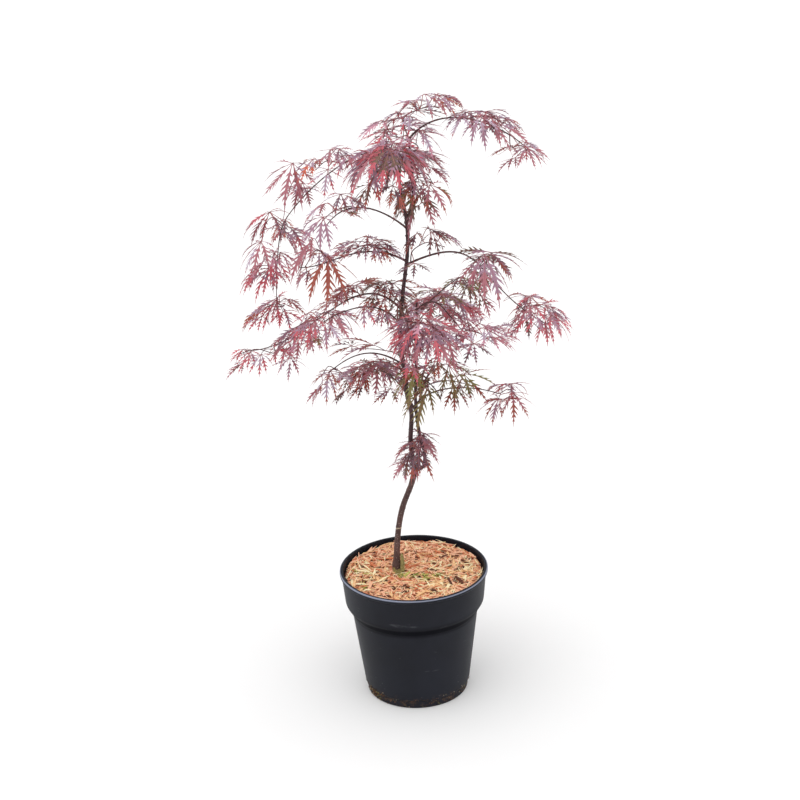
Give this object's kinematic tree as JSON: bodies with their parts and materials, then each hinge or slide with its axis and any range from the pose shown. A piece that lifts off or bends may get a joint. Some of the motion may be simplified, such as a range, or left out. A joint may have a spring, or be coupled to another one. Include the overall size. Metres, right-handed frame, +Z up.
{
  "type": "potted japanese maple",
  "caption": "Young cut-leaved shrub with weeping tiers of finely divided purple-red leaves on dark arching boughs, in a tapered round plastic nursery pot topped with bark mulch.",
  "frame": {"origin": "centre of the pot's flat underside", "axes": "+Z up the plant, +X to the right of its face, +Y to its back"},
  "size_m": [0.4348, 0.3214, 0.7771],
  "materials": {
    "pot": "satin moulded plastic, near black, lightly dusty",
    "mulch": "shredded bark chips and straw-coloured fibres over potting mix",
    "trunk_bark": "smooth purple-grey bark with pale lenticels",
    "young_bark": "smooth satin purple-black young bark",
    "foliage": "thin purple-red leaves with a soft silvery sheen"
  },
  "bodies": {
    "root": {"pot": "pot", "mulch": "mulch", "trunk": "trunk_bark", "leader": "young_bark", "right_stem": "young_bark", "right_fork_limb": "young_bark", "bough_top_right": "young_bark", "bough_high_left": "young_bark", "bough_high_left_weeping": "young_bark", "bough_upper_left": "young_bark", "bough_mid_left": "young_bark", "bough_long_left": "young_bark", "bough_left_front": "young_bark", "bough_low_left": "young_bark", "bough_mid_right": "young_bark", "bough_right_back": "young_bark", "bough_right_front": "young_bark", "bough_low_right": "young_bark", "bough_high_back": "young_bark", "bough_mid_back": "young_bark", "bough_low_back": "young_bark", "bough_high_front": "young_bark", "bough_mid_front": "young_bark", "bough_low_front": "young_bark", "bough_foot_sprig": "young_bark", "leaves_crown_top": "foliage", "leaves_crown_left": "foliage", "leaves_arch_right": "foliage", "leaves_arch_right_tip": "foliage", "leaves_crown_front": "foliage", "leaves_crown_front_low": "foliage", "leaves_left_shoulder": "foliage", "leaves_high_left": "foliage", "leaves_high_left_bend": "foliage", "leaves_high_left_hang": "foliage", "leaves_high_left_tip": "foliage", "leaves_upper_left": "foliage", "leaves_mid_left_inner": "foliage", "leaves_mid_left": "foliage", "leaves_long_left_inner": "foliage", "leaves_long_left_mid": "foliage", "leaves_long_left_outer": "foliage", "leaves_long_left_tip": "foliage", "leaves_left_front": "foliage", "leaves_low_left": "foliage", "leaves_low_left_inner": "foliage", "leaves_mid_right_inner": "foliage", "leaves_mid_right": "foliage", "leaves_mid_right_tip": "foliage", "leaves_right_back": "foliage", "leaves_mid_front": "foliage", "leaves_right_front": "foliage", "leaves_low_front": "foliage", "leaves_low_right_inner": "foliage", "leaves_low_right_tip": "foliage", "leaves_foot_sprig": "foliage", "leaves_high_back": "foliage", "leaves_mid_back": "foliage", "leaves_low_back": "foliage"}
  },
  "joints": []
}
